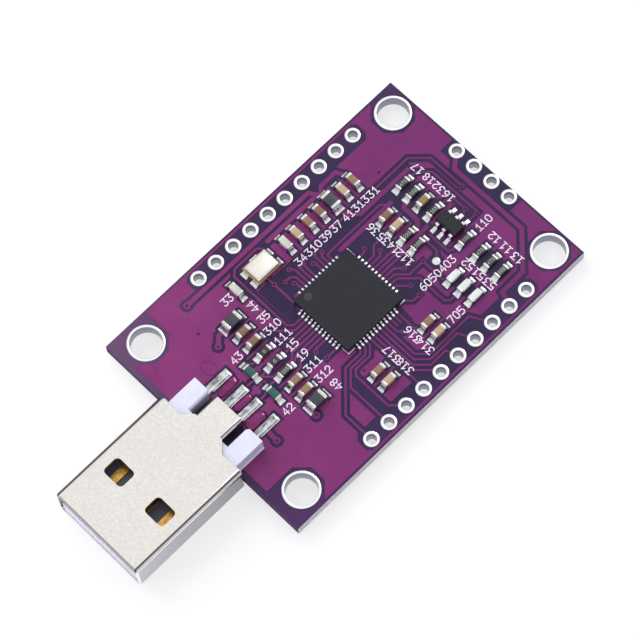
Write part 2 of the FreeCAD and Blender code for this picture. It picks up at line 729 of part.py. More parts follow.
# Contacts: four straight strips from the tongue through the insulator to the board
contact_top = board_top + contact_thickness
contacts = []
for x, setback in contact_plan:
    nose = shell_front + tongue_setback + setback
    profile = [
        (nose, board_top), (board_near, board_top), (board_near, contact_top),
        (nose + contact_nose_length, contact_top), (nose, board_top + contact_thickness / 2),
    ]
    tail_run = contact_tail_y - board_near
    run_middle = board_near + tail_run / 2
    contact_tail = box(contact_tail_width, tail_run, contact_thickness, x, run_middle, board_top)
    contacts.append(prism_x(profile, contact_width, x).fuse(contact_tail).removeSplitter())
for number, contact in enumerate(contacts, 1):
    save("usb_contact_" + str(number), contact)

# Insulator: a block inside the shell, a tongue under the contacts and two wings on the board
inside_low = shell_bottom + sheet + fit
inside_high = shell_top - sheet - fit
block_front = shell_front + cavity_depth
block_rear = board_near - fit
block = box(
    inner_width - 2 * fit, block_rear - block_front, inside_high - inside_low,
    plug_x, (block_rear + block_front) / 2, inside_low)
block = rounded_along(block, along_y, bend_radius - sheet)
tongue_front = shell_front + tongue_setback
tongue_width = inner_width - 2 * tongue_side_gap
tongue = box(
    tongue_width, block_front - tongue_front, board_top - inside_low,
    plug_x, (block_front + tongue_front) / 2, inside_low)
wing_end = block_rear + wing_length
wing_half = shell_width / 2 - wing_inset
slot_start = wing_end - wing_slot_length
wing_plan = outline([
    (plug_x - wing_half, block_rear), (plug_x + wing_half, block_rear), (plug_x + wing_half, wing_end),
    (plug_x + slot_half + wing_corner, wing_end), (plug_x + slot_half, wing_end - wing_corner),
    (plug_x + slot_half, slot_start), (plug_x - slot_half, slot_start),
    (plug_x - slot_half, wing_end - wing_corner), (plug_x - slot_half - wing_corner, wing_end),
    (plug_x - wing_half, wing_end),
])
wings = top_rounded(raised(wing_plan, board_top, inside_high - board_top).Solids[0], slot_half, wing_round)
foot_middle = wing_half + wing_foot / 2
feet = [
    box(wing_foot, wing_length, wing_foot, plug_x + side * foot_middle, wing_end - wing_length / 2, board_top)
    for side in (-1, 1)
]
insulator = block.fuse([tongue, wings] + feet).removeSplitter().cut(Part.Compound(contacts))
save("usb_insulator", insulator)
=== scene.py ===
import math
import bmesh
import bpy
from mathutils import Matrix, Vector


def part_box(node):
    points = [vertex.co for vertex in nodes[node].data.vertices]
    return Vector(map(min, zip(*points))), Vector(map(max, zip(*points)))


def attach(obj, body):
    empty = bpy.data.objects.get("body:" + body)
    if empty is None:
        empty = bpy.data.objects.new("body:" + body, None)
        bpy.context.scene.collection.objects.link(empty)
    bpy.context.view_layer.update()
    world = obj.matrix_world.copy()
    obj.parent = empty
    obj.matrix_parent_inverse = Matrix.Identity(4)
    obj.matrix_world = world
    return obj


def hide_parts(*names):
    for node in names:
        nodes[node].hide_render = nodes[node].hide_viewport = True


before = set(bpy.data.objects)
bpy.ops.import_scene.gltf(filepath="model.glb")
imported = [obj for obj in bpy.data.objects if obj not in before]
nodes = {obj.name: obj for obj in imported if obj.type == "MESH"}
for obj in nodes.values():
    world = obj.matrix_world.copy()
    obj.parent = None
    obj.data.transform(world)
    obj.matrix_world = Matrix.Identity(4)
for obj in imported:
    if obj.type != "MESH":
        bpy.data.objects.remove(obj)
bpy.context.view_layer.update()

MM = 0.001


def packed_box(node):
    """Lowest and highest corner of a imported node, in millimetres."""
    return [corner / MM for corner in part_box(node)]


def packed_middle(node):
    """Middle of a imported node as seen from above, in millimetres."""
    low, high = packed_box(node)
    return (low.x + high.x) / 2, (low.y + high.y) / 2


# Sizes in millimetres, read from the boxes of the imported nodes
BOARD_TOP = packed_box("top_copper")[1].z
BOARD_NEAR = packed_box("circuit_board")[0].y
BOARD_FAR = packed_box("circuit_board")[1].y
CONTROLLER = packed_middle("controller_body")
MEMORY = packed_middle("memory_body")
CRYSTAL = packed_middle("crystal_base")
CRYSTAL_TOP = packed_box("crystal_base")[1].z
CONTACT_X = [packed_middle(f"usb_contact_{k}")[0] for k in range(1, 5)]
TAIL_END = packed_box("usb_contact_1")[1].y
SHELL_LOW, SHELL_HIGH = packed_box("usb_shell")
SHELL_HALF = (SHELL_HIGH.x - SHELL_LOW.x) / 2
PLUG_X = SHELL_LOW.x + SHELL_HALF
SHELL_FRONT = SHELL_LOW.y
SHELL_BOTTOM = SHELL_LOW.z
SHELL_TOP = SHELL_HIGH.z

# Sizes that no box gives. Those of the board, its holes and the shell are as in the part's source
FOIL = 0.04
SOLDER_FOOT = BOARD_TOP - FOIL
SHELL_GAP = 0.25
SHELL_REAR = BOARD_NEAR - SHELL_GAP
SHELL_SHEET = 0.3
PITCH = 2.54
ROW_X = 12.7
END_ROW = (0.33, 17.78)
PIN_LAND = 0.875
PIN_BORE = 0.525
MOUNT_LAND = 2.05
MOUNT_BORE = 1.75
MOUNT_X = 11.43
MOUNT_Y = (-20.25, 16.25)
MOUNTS = [(side * MOUNT_X, y) for side in (-1, 1) for y in MOUNT_Y]
TEST_POINT = (3.75, 7.25)
PIN_ONE_DOT = (CONTROLLER[0] - 3.18, CONTROLLER[1] - 2.63)
PIN_ONE_RADIUS = 0.42
# Middles of the tented vias
VIAS = [
    (-7.65, 10.3), (-5.55, -0.3), (-5.25, -1.9), (-6.6, -4.15), (-5.1, -4.85), (-5.9, -5.4), (-6.5, -6.4),
    (-11.35, -14.4), (-5.75, -15.3), (-8.25, -15.75), (3.18, -8.35), (1.9, -8.65), (-2.6, 3.0),
    (-1.3, 4.03), (1.95, 4.35), (2.8, 6.25), (3.8, 3.4), (5.15, 3.3), (-0.25, 15.27), (3.0, 14.1),
    (1.85, 13.6), (6.8, -0.85), (10.7, 1.85), (6.9, -6.65), (6.85, -13.55), (5.9, -18.3),
]


# Materials

def linear(r, g, b):
    """A colour given as display values, turned into the renderer's linear one."""
    out = []
    for value in (r, g, b):
        c = value / 255
        out.append(c / 12.92 if c <= 0.04045 else ((c + 0.055) / 1.055) ** 2.4)
    return (*out, 1.0)


def set_stops(ramp, stops):
    """Colours of a ramp, given as pairs of place and colour."""
    while len(ramp.elements) < len(stops):
        ramp.elements.new(0.5)
    for element, (place, colour) in zip(ramp.elements, stops):
        element.position = place
        element.color = colour


class Nodes:
    """A short way to write a node material."""

    def __init__(self, name):
        self.mat = bpy.data.materials.new(name)
        self.mat.use_nodes = True
        self.tree = self.mat.node_tree
        self.bsdf = self.tree.nodes["Principled BSDF"]
        self.coords = self.tree.nodes.new("ShaderNodeTexCoord")

    def new(self, kind, **settings):
        """A shader node with its settings."""
        node = self.tree.nodes.new("ShaderNode" + kind)
        for key, value in settings.items():
            setattr(node, key, value)
        return node

    def link(self, a, b):
        self.tree.links.new(a, b)

    def scaled(self, per_mm=1.0, stretch=(1, 1, 1)):
        """Object coordinates in features per millimetre."""
        mapping = self.new("Mapping")
        mapping.inputs["Scale"].default_value = [per_mm * s / MM for s in stretch]
        self.link(self.coords.outputs["Object"], mapping.inputs["Vector"])
        return mapping.outputs["Vector"]

    def noise(self, per_mm, detail=3.0, rough=0.5, stretch=(1, 1, 1)):
        """Noise with so many features per millimetre."""
        node = self.new("TexNoise")
        node.inputs["Scale"].default_value = 1.0
        node.inputs["Detail"].default_value = detail
        node.inputs["Roughness"].default_value = rough
        self.link(self.scaled(per_mm, stretch), node.inputs["Vector"])
        return node.outputs["Fac"]

    def ramp(self, value, stops):
        """A colour that follows a value."""
        node = self.new("ValToRGB")
        set_stops(node.color_ramp, stops)
        self.link(value, node.inputs["Fac"])
        return node.outputs["Color"]

    def math(self, operation, a, b=None, clamp=False):
        """One sum on numbers or on the outputs of nodes."""
        node = self.new("Math", operation=operation, use_clamp=clamp)
        for socket, value in zip(node.inputs, (a, b)):
            if value is None:
                continue
            if isinstance(value, (int, float)):
                socket.default_value = value
            else:
                self.link(value, socket)
        return node.outputs["Value"]

    def span(self, value, low, high, to_low=0.0, to_high=1.0):
        """A value taken from one range to another and held at its ends."""
        node = self.new("MapRange")
        for name, number in (("From Min", low), ("From Max", high), ("To Min", to_low), ("To Max", to_high)):
            node.inputs[name].default_value = number
        self.link(value, node.inputs["Value"])
        return node.outputs["Result"]

    def mix(self, factor, a, b):
        """The first colour where the factor is none, the second where it is one."""
        node = self.new("Mix", data_type="RGBA")
        sockets = {s.identifier: s for s in node.inputs}
        for key, value in (("Factor_Float", factor), ("A_Color", a), ("B_Color", b)):
            if isinstance(value, (int, float, tuple)):
                sockets[key].default_value = value
            else:
                self.link(value, sockets[key])
        return {s.identifier: s for s in node.outputs}["Result_Color"]

    def axis(self, name):
        """One object coordinate, in millimetres."""
        split = self.new("SeparateXYZ")
        self.link(self.scaled(), split.inputs["Vector"])
        return split.outputs[name]

    def facing(self, name):
        """One part of the surface's own direction."""
        geometry = self.new("NewGeometry")
        split = self.new("SeparateXYZ")
        self.link(geometry.outputs["Normal"], split.inputs["Vector"])
        return split.outputs[name]

    def near(self, x, y, radius, soft):
        """One inside a circle on the board, falling to nothing across its soft rim."""
        dx = self.math("SUBTRACT", self.axis("X"), x)
        dy = self.math("SUBTRACT", self.axis("Y"), y)
        squares = self.math("ADD", self.math("MULTIPLY", dx, dx), self.math("MULTIPLY", dy, dy))
        return self.span(self.math("SQRT", squares), radius + soft, radius)

    def bump(self, height, strength, distance_mm):
        """Fine relief of the surface."""
        node = self.new("Bump")
        if isinstance(strength, float):
            node.inputs["Strength"].default_value = strength
        else:
            self.link(strength, node.inputs["Strength"])
        node.inputs["Distance"].default_value = distance_mm * MM
        self.link(height, node.inputs["Height"])
        self.link(node.outputs["Normal"], self.bsdf.inputs["Normal"])

    def set(self, **values):
        """Inputs of the surface shader by name, with _ for a space."""
        for key, value in values.items():
            socket = self.bsdf.inputs[key.replace("_", " ")]
            if isinstance(value, (int, float, tuple)):
                socket.default_value = value
            else:
                self.link(value, socket)


def mask_over_laminate():
    """Dark glossy mask on the faces, rough glass fibre on the cut edges."""
    n = Nodes("mask_over_laminate")
    tone = n.noise(0.35, 3)
    x, y = n.axis("X"), n.axis("Y")
    face = n.ramp(tone, [(0.3, linear(34, 20, 58)), (0.75, linear(46, 30, 70))])
    # Paler away from the board's middle, and paler still at the lower left with a painted sheen
    across = n.math("MULTIPLY", n.math("MULTIPLY", x, x), 0.005)
    along = n.math("MULTIPLY", n.math("MULTIPLY", y, y), 0.002)
    face = n.mix(n.span(n.math("ADD", across, along), 0.7, 1.9), face, linear(68, 37, 84))
    low_left = n.math("ADD", n.math("MULTIPLY", x, -0.8), n.math("MULTIPLY", y, -1.0))
    face = n.mix(n.span(low_left, 19.0, 34.0), face, linear(96, 66, 102))
    weave = n.noise(1.4, 4, 0.7, (1, 1, 7))
    edge = n.ramp(weave, [
        (0.25, linear(146, 136, 156)), (0.5, linear(200, 194, 202)), (0.8, linear(232, 228, 226))])
    edge = n.mix(n.span(n.facing("Y"), -0.3, -0.7), edge, linear(62, 46, 84))
    level = n.span(n.math("ABSOLUTE", n.facing("Z")), 0.4, 0.6)
    n.set(Base_Color=n.mix(level, edge, face), Roughness=n.span(level, 0, 1, 0.75, 0.3))
    n.set(Specular_IOR_Level=0.25)
    n.bump(weave, n.span(level, 0, 1, 0.35, 0.0), 0.02)
    return n.mat


def mask_over_copper():
    """Purple mask over the foil, with a painted sheen making it a little brighter towards the lower left."""
    n = Nodes("mask_over_copper")
    tone = n.noise(0.22, 3, 0.55)
    # The near tones carry a painted sheen, blended in towards the lower left
    far = n.ramp(tone, [(0.3, linear(99, 20, 90)), (0.75, linear(110, 27, 100))])
    near = n.ramp(tone, [(0.3, linear(118, 33, 98)), (0.75, linear(129, 44, 109))])
    along = n.math("ADD", n.axis("Y"), n.math("MULTIPLY", n.axis("X"), 0.7))
    base = n.mix(n.span(along, 8.0, -24.0), far, near)
    fine = n.noise(5.0, 2, 0.6)
    speck = n.mix(n.span(fine, 0.35, 0.75, 0.0, 0.1), base, linear(150, 60, 140))
    n.set(Base_Color=speck, Roughness=n.span(tone, 0.3, 0.7, 0.26, 0.36))
    n.set(Specular_IOR_Level=0.28)
    n.bump(n.noise(1.1, 2), 0.1, 0.03)
    return n.mat


def metal(name, dark, bright, rough, per_mm, bump):
    """Plated metal, mottled between two tones and smoother where it is brighter."""
    n = Nodes(name)
    tone = n.noise(per_mm, 4, 0.6)
    n.set(Base_Color=n.ramp(tone, [(0.3, linear(*dark)), (0.7, linear(*bright))]))
    n.set(Metallic=1.0, Roughness=n.span(tone, 0.3, 0.7, rough[1], rough[0]))
    n.bump(n.noise(per_mm * 1.7, 3, 0.6), bump, 0.02)
    return n.mat


def ceramic(name, dark, bright, rough=0.45):
    """Fired ceramic with a fine grain in two tones."""
    n = Nodes(name)
    tone = n.noise(6.0, 4, 0.65)
    n.set(Base_Color=n.ramp(tone, [(0.3, linear(*dark)), (0.7, linear(*bright))]))
    n.set(Roughness=n.span(tone, 0.3, 0.7, rough + 0.08, rough - 0.06))
    n.bump(n.noise(12.0, 3), 0.2, 0.01)
    return n.mat


def chip_black(name, dotted=False):
    """Satin moulding compound with a fine grain and, where asked for, a paler pin-one dot."""
    n = Nodes(name)
    tone = n.noise(9.0, 4, 0.7)
    base = n.ramp(tone, [(0.3, linear(27, 26, 35)), (0.7, linear(38, 37, 47))])
    if dotted:
        inside = n.near(*PIN_ONE_DOT, PIN_ONE_RADIUS, 0.08)
        base = n.mix(n.math("MULTIPLY", inside, 0.5), base, linear(72, 72, 76))
    n.set(Base_Color=base, Roughness=n.span(tone, 0.3, 0.7, 0.52, 0.42), Specular_IOR_Level=0.25)
    n.bump(n.noise(22.0, 3, 0.7), 0.3, 0.01)
    return n.mat


def plastic(name, dark, bright, rough):
    """Pale plastic or ink that lets a little light in."""
    n = Nodes(name)
    tone = n.noise(0.8, 3)
    n.set(Base_Color=n.ramp(tone, [(0.3, linear(*dark)), (0.7, linear(*bright))]), Roughness=rough)
    n.set(Subsurface_Weight=0.08, Subsurface_Scale=0.6 * MM)
    n.bump(n.noise(8.0, 2), 0.08, 0.01)
    return n.mat


def hole_tin():
    """Smooth tin on the lands, with painted shade darkening it down the bores."""
    n = Nodes("hole_tin")
    tone = n.noise(1.2, 3)
    land = n.ramp(tone, [(0.3, linear(246, 247, 251)), (0.7, linear(254, 254, 255))])
    # Painted shade down the bores
    bore = n.span(n.math("ABSOLUTE", n.facing("Z")), 0.55, 0.25)
    n.set(Base_Color=n.mix(bore, land, linear(144, 142, 160)), Metallic=1.0)
    n.set(Roughness=n.span(tone, 0.3, 0.7, 0.36, 0.24))
    n.bump(n.noise(2.0, 3), 0.06, 0.02)
    return n.mat


def contact_metal(x):
    """Gold strip, tinned where it leaves the plug's moulding for the board, with a painted highlight along
    it.
    """
    n = Nodes("contact_gold")
    tone = n.noise(3.0, 3)
    streak = n.noise(1.7, 3, 0.6, (1.4, 0.6, 1))
    gold = n.ramp(tone, [(0.3, linear(196, 144, 62)), (0.7, linear(232, 186, 104))])
    tin = n.ramp(streak, [
        (0.36, linear(92, 94, 97)), (0.5, linear(160, 162, 166)), (0.66, linear(222, 223, 226))])
    # Painted highlight along the right-hand side of the tinned tail
    aside = n.math("ABSOLUTE", n.math("SUBTRACT", n.axis("X"), x + 0.2))
    tin = n.mix(n.span(aside, 0.16, 0.05, 0.0, 0.6), tin, linear(240, 240, 241))
    outside = n.span(n.axis("Y"), SHELL_REAR - 0.8, SHELL_REAR + 0.2)
    n.set(Base_Color=n.mix(outside, gold, tin), Metallic=1.0)
    n.set(Roughness=n.span(tone, 0.3, 0.7, 0.4, 0.26))
    n.bump(n.noise(2.2, 2, 0.5, (2, 0.3, 1)), 0.4, 0.03)
    return n.mat


def shell_steel():
    """Tinned sheet with a fine mottled grain. Painted shade darkens its inside, its side walls towards the
    rear and its rounded edges, and a painted highlight runs beside the right-hand edge.
    """
    n = Nodes("shell_steel")
    grain = n.noise(3.4, 5, 0.75)
    cloud = n.noise(0.25, 3)
    fine = n.ramp(grain, [(0.3, linear(221, 217, 211)), (0.7, linear(250, 247, 241))])
    outside = n.mix(n.span(cloud, 0.35, 0.7, 0.0, 0.35), fine, linear(226, 223, 217))
    # Painted shade on the inside faces of the shell
    aside = n.math("ABSOLUTE", n.math("SUBTRACT", n.axis("X"), PLUG_X))
    core = SHELL_SHEET - 0.08
    inside = n.span(aside, SHELL_HALF - core, SHELL_HALF - SHELL_SHEET)
    for axis, start, end in (
        ("Z", SHELL_TOP - core, SHELL_TOP - SHELL_SHEET),
        ("Z", SHELL_BOTTOM + core, SHELL_BOTTOM + SHELL_SHEET),
        ("Y", SHELL_REAR, SHELL_REAR - SHELL_SHEET),
        ("Y", SHELL_FRONT + 0.6, SHELL_FRONT + 1.6),
    ):
        inside = n.math("MULTIPLY", inside, n.span(n.axis(axis), start, end))
    # Painted shade on the side walls, darker towards the rear near the board
    along = n.span(n.axis("Y"), SHELL_FRONT, SHELL_REAR)
    painted_wall_shade = n.ramp(along, [
        (0.0, linear(194, 192, 202)), (0.6, linear(162, 160, 170)), (1.0, linear(132, 130, 140))])
    across = n.facing("X")
    outside = n.mix(n.span(n.math("ABSOLUTE", across), 0.8, 0.97), outside, painted_wall_shade)
    # Painted shade as dark lines along the rounded edges, and a painted highlight beside the right-hand line
    left_bend_shade = n.math("MULTIPLY", n.span(across, -0.22, -0.4), n.span(across, -0.99, -0.95))
    right_bend_shade = n.math("MULTIPLY", n.span(across, 0.12, 0.24), n.span(across, 0.6, 0.5))
    outside = n.mix(n.math("ADD", left_bend_shade, right_bend_shade), outside, linear(96, 93, 96))
    painted_highlight = n.math("MULTIPLY", n.span(across, 0.56, 0.66), n.span(across, 0.94, 0.86))
    outside = n.mix(painted_highlight, outside, linear(250, 249, 247))
    n.set(Base_Color=n.mix(inside, outside, linear(122, 120, 124)), Metallic=1.0)
    n.set(Roughness=n.span(grain, 0.3, 0.7, 0.3, 0.2))
    n.bump(grain, 0.12, 0.02)
    return n.mat


def moulding():
    """White moulding, with painted deep shade on the tongue beneath the shell."""
    n = Nodes("white_moulding")
    tone = n.noise(0.8, 3)
    white = n.ramp(tone, [(0.3, linear(208, 210, 230)), (0.7, linear(216, 218, 238))])
    # Painted deep shade on the tongue, from behind the mouth to short of the shell's rear
    deep = n.span(n.axis("Y"), SHELL_FRONT + 0.9, SHELL_FRONT + 2.6)
    tongue_shade = n.math("MULTIPLY", deep, n.span(n.axis("Y"), SHELL_REAR - 0.4, SHELL_REAR - 1.0))
    n.set(Base_Color=n.mix(tongue_shade, white, linear(98, 96, 112)), Roughness=0.36)
    n.set(Subsurface_Weight=0.06, Subsurface_Scale=0.5 * MM)
    n.bump(n.noise(8.0, 2), 0.08, 0.01)
    return n.mat


def flux_residue():
    """Glossy film left by soldering, reddish over the purple mask."""
    n = Nodes("flux_residue")
    tone = n.noise(1.6, 3)
    n.set(Base_Color=n.ramp(tone, [(0.3, linear(100, 14, 80)), (0.7, linear(134, 32, 108))]))
    n.set(Roughness=n.span(tone, 0.3, 0.7, 0.07, 0.14), Specular_IOR_Level=0.4)
    n.bump(n.noise(1.3, 2), 0.3, 0.08)
    return n.mat


MATERIALS = {
    "laminate": mask_over_laminate(),
    "copper": mask_over_copper(),
    "tin": hole_tin(),
    "solder": metal("solder", (196, 197, 200), (252, 252, 253), (0.1, 0.26), 3.0, 0.35),
    "cap_tin": metal("cap_tin", (190, 189, 186), (246, 245, 242), (0.16, 0.34), 5.0, 0.3),
    "leads": metal("leads", (216, 217, 220), (254, 254, 255), (0.14, 0.3), 4.0, 0.25),
    "crystal_lid": metal("crystal_lid", (240, 234, 223), (248, 243, 235), (0.26, 0.38), 1.5, 0.1),
    "steel": shell_steel(),
    "chip_main": chip_black("chip_main", dotted=True),
    "chip_small": chip_black("chip_small"),
    "resistor": ceramic("resistor", (30, 31, 34), (46, 47, 51), 0.35),
    "cap_tan": ceramic("cap_tan", (124, 92, 74), (148, 116, 94)),
    "cap_beige": ceramic("cap_beige", (166, 143, 112), (188, 166, 136)),
    "cap_brown": ceramic("cap_brown", (108, 78, 62), (132, 98, 80)),
    "cap_grey": ceramic("cap_grey", (178, 176, 170), (206, 204, 198)),
    "cap_gold": ceramic("cap_gold", (122, 99, 68), (144, 122, 88)),
    "bead": ceramic("bead", (38, 43, 52), (58, 63, 74), 0.4),
    "green": ceramic("green", (4, 74, 68), (12, 96, 88), 0.3),
    "crystal_base": ceramic("crystal_base", (150, 122, 84), (186, 158, 116), 0.5),
    "via": ceramic("via", (14, 8, 20), (24, 12, 30), 0.4),
    "led": plastic("led", (206, 210, 208), (222, 226, 224), 0.3),
    "ink": plastic("ink", (222, 210, 224), (234, 226, 236), 0.5),
    "ink_faint": plastic("ink_faint", (150, 150, 150), (176, 176, 176), 0.5),
    "insulator": moulding(),
    "flux": flux_residue(),
}
# Each contact has its own metal, because the painted highlight along it lies at its own place
for k, x in enumerate(CONTACT_X, 1):
    MATERIALS[f"contact_{k}"] = contact_metal(x)


# Meshes

def piece(name, bm, materials, smooth=True, replaced=()):
    """A named piece of the root body from a bmesh written in millimetres."""
    bmesh.ops.recalc_face_normals(bm, faces=bm.faces)
    bmesh.ops.scale(bm, vec=(MM, MM, MM), verts=bm.verts)
    mesh = bpy.data.meshes.new(name)
    bm.to_mesh(mesh)
    bm.free()
    obj = bpy.data.objects.new(name, mesh)
    bpy.context.scene.collection.objects.link(obj)
    for material in materials:
        mesh.materials.append(MATERIALS[material])
    for polygon in mesh.polygons:
        polygon.use_smooth = smooth
    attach(obj, "root")
    if replaced:
        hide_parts(*replaced)


def move(bm, verts, turns=0, x=0.0, y=0.0, z=0.0):
    """Quarter turns about the upright axis, then a shift."""
    bmesh.ops.rotate(bm, verts=verts, cent=(0, 0, 0), matrix=Matrix.Rotation(math.pi / 2 * turns, 3, "Z"))
    bmesh.ops.translate(bm, verts=verts, vec=(x, y, z))


def rounded_box(bm, low, high, radius, segments=2, material=0):
    """A box between two corners with every edge rounded."""
    others = set(bm.faces)
    verts = bmesh.ops.create_cube(bm, size=1.0)["verts"]
    size = [b - a for a, b in zip(low, high)]
    middle = [(a + b) / 2 for a, b in zip(low, high)]
    bmesh.ops.scale(bm, vec=size, verts=verts)
    bmesh.ops.translate(bm, vec=middle, verts=verts)
    edges = list({e for v in verts for e in v.link_edges})
    bmesh.ops.bevel(
        bm, geom=edges, offset=radius, segments=segments, profile=0.5, affect="EDGES", clamp_overlap=True)
    faces = [f for f in bm.faces if f not in others]
    for face in faces:
        face.material_index = material
    return list({v for f in faces for v in f.verts})


def join_rings(bm, rings):
    """Faces from each closed ring of points to the next, and from the last to the first."""
    for a, b in zip(rings, rings[1:] + rings[:1]):
        for k in range(len(a)):
            bm.faces.new((a[k - 1], b[k - 1], b[k], a[k]))


def revolve(bm, profile, x, y, segments):
    """A closed outline of (radius, z) points turned about an upright axis."""
    rings = []
    for k in range(segments):
        angle = 2 * math.pi * k / segments
        c, s = math.cos(angle), math.sin(angle)
        rings.append([bm.verts.new((x + r * c, y + r * s, z)) for r, z in profile])
    join_rings(bm, rings)


MOUND_SINK = 0.005


def mound(bm, low_x, high_x, half_y, height, base=0.03, steps=(9, 8), hollow=2.0, square=6.0):
    """Solder on a pad: tallest at its low X end, falling in a hollow curve to a base, soft at its sides."""
    nx, ny = steps
    grid = []
    for i in range(nx + 1):
        u = i / nx
        column = []
        for j in range(ny + 1):
            v = 2 * j / ny - 1
            side = max(0.0, 1 - abs(v) ** square)
            end = max(0.0, 1 - u ** 10)
            lift = height * (1 - u) ** hollow * side ** 0.5 + base * (side * end) ** 0.5
            column.append(bm.verts.new((low_x + (high_x - low_x) * u, v * half_y, lift)))
        grid.append(column)
    for i in range(nx):
        for j in range(ny):
            bm.faces.new((grid[i][j], grid[i + 1][j], grid[i + 1][j + 1], grid[i][j + 1]))
    rim = grid[0] + [grid[i][ny] for i in range(1, nx + 1)] + [grid[nx][j] for j in range(ny - 1, -1, -1)]
    rim += [grid[i][0] for i in range(nx - 1, 0, -1)]
    under = [bm.verts.new((v.co.x, v.co.y, -MOUND_SINK)) for v in rim]
    for k in range(len(rim)):
        bm.faces.new((rim[k - 1], rim[k], under[k], under[k - 1]))
    bm.faces.new(under)
    return [v for column in grid for v in column] + under


# Plated holes: a level tinned land with a soft rim, rolling over into the bore

TIN_LIFT = 0.02
LAND_RIM = 0.03


def ring_profile(bore, land, roll):
    """Outline of a plated hole as (radius, z) points, the same on both faces of the board."""
    top = BOARD_TOP + TIN_LIFT
    half = [(land, BOARD_TOP / 2), (land, top - LAND_RIM), (land - LAND_RIM, top)]
    half += [(bore + roll, top), (bore + roll * 0.3, top - roll * 0.25), (bore, top - roll)]
    return half + [(r, BOARD_TOP - z) for r, z in reversed(half)]


def plated_holes(name, node, places, bore, land, roll, segments):
    bm = bmesh.new()
    for x, y in places:
        revolve(bm, ring_profile(bore, land, roll), x, y, segments)
    piece(name, bm, ["tin"], replaced=[node])


pins = [(side * ROW_X, PITCH * (5.5 - n)) for side in (-1, 1) for n in range(1, 11)]
pins += [(END_ROW[0] + PITCH * (n - 2.5), END_ROW[1]) for n in range(1, 5)]
plated_holes("pin_rings", "header_hole_plating", pins, PIN_BORE, PIN_LAND, roll=0.09, segments=40)
plated_holes(
    "mounting_rings", "mounting_hole_plating", MOUNTS, MOUNT_BORE, MOUNT_LAND, roll=0.06, segments=96)


# Chip parts: a body, two wrapped end caps and the solder at their feet

CAPACITOR_TONES = ["tan", "beige", "brown", "tan", "beige", "grey", "grey", "brown", "brown",
                   "tan", "gold", "gold", "brown", "beige", "tan", "beige", "tan", "beige"]
# Kind of part, body material of each, length of its end caps, inset of the body within them,
# and the reach from end to end and the height of its solder
CHIPS = [
    ("resistor", ["resistor"] * 12, 0.28, 0.015, 2.8, 0.324),
    ("capacitor", [f"cap_{tone}" for tone in CAPACITOR_TONES], 0.34, 0.02, 2.8, 0.576),
    ("bead", ["bead"] * 3, 0.4, 0.02, 3.1, 0.648),
    ("led", ["led"] * 3, 0.26, 0.02, 2.8, 0.288),
    ("protector", ["green"] * 2, 0.26, 0.015, 2.8, 0.36),
]
BODY_END_INSET = 0.05
BODY_ROUND = 0.03
CAP_ROUND = 0.07
# How far inside the part its solder starts, and the solder's half width as a share of the part's width
SOLDER_TUCK = 0.01
PAD_SHARE = 0.55

# All solder is gathered in one mesh
solder = bmesh.new()


def chip(node, name, body, cap, inset, reach, climb):
    """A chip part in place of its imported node, turned as the node's longer side lies."""
    low, high = packed_box(node)
    length, width, height = high - low
    turns = 0
    if width > length:
        turns = 1
        length, width = width, length
    middle = packed_middle(node)
    bm = bmesh.new()
    rounded_box(
        bm, (BODY_END_INSET - length / 2, inset - width / 2, inset),
        (length / 2 - BODY_END_INSET, width / 2 - inset, height - inset), BODY_ROUND)
    for end in (-1, 1):
        near, far = sorted((end * length / 2, end * (length / 2 - cap)))
        rounded_box(bm, (near, -width / 2, 0), (far, width / 2, height), CAP_ROUND, 3, material=1)
        joint = mound(solder, length / 2 - SOLDER_TUCK, reach / 2, width * PAD_SHARE, climb, hollow=2.2)
        move(solder, joint, turns + 1 - end, *middle, SOLDER_FOOT)
    move(bm, bm.verts, turns, *middle, BOARD_TOP)
    piece(name, bm, [body, "cap_tin"], replaced=[node])


for kind, bodies, *sizes in CHIPS:
    for k, body in enumerate(bodies, 1):
        chip(f"{kind}_{k}", f"{kind}_part_{k}", body, *sizes)


# Solder at the crystal's four pads and the memory chip's six toes

CRYSTAL_PAD_Y = 0.725
CRYSTAL_PAD_REACH = 0.5
CRYSTAL_PAD_HALF = 0.52
CRYSTAL_CLIMB = 0.3
MEMORY_PITCH = 0.95
MEMORY_TOE_Y = 1.48
MEMORY_PAD_START = -0.42
MEMORY_PAD_END = 0.45
MEMORY_PAD_HALF = 0.27
MEMORY_CLIMB = 0.14

low, high = packed_box("crystal_base")
crystal_end = (high.y - low.y) / 2
for side in (-1, 1):
    for turns in (1, 3):
        joint = mound(
            solder, crystal_end - SOLDER_TUCK, crystal_end + CRYSTAL_PAD_REACH, CRYSTAL_PAD_HALF,
            CRYSTAL_CLIMB, base=0.04)
        move(solder, joint, y=side * CRYSTAL_PAD_Y)
        move(solder, joint, turns, *CRYSTAL, SOLDER_FOOT)
for n in (-1, 0, 1):
    for side in (-1, 1):
        joint = mound(
            solder, MEMORY_PAD_START, MEMORY_PAD_END, MEMORY_PAD_HALF, MEMORY_CLIMB, base=0.05, hollow=1.2)
        x, y = MEMORY[0] + n * MEMORY_PITCH, MEMORY[1] + side * MEMORY_TOE_Y
        move(solder, joint, side, x, y, SOLDER_FOOT)


# Controller leads: a short shoulder, a slope and a foot, with the pad beneath the body

# Distance from the controller's middle and height of each point along a lead's side
LEAD_OUTLINE = [
    (3.96, 0.36), (4.14, 0.34), (4.24, 0.16), (4.34, 0.11), (4.54, 0.09), (4.55, 0.0), (3.96, 0.0)]
LEAD_PITCH = 0.5
LEAD_HALF_WIDTH = 0.11
LEADS_A_SIDE = 12
PAD_HALF = 2.8
PAD_HEIGHT = 0.1


def controller_lead(bm, along, turns):
    """One lead from its side outline, at its place along one side of the controller."""
    left, right = [
        [bm.verts.new((x, along + side * LEAD_HALF_WIDTH, z)) for x, z in LEAD_OUTLINE] for side in (-1, 1)]
    for k in range(len(LEAD_OUTLINE)):
        bm.faces.new((left[k - 1], left[k], right[k], right[k - 1]))
    bm.faces.new(left)
    bm.faces.new(right)
    move(bm, left + right, turns, *CONTROLLER, SOLDER_FOOT)


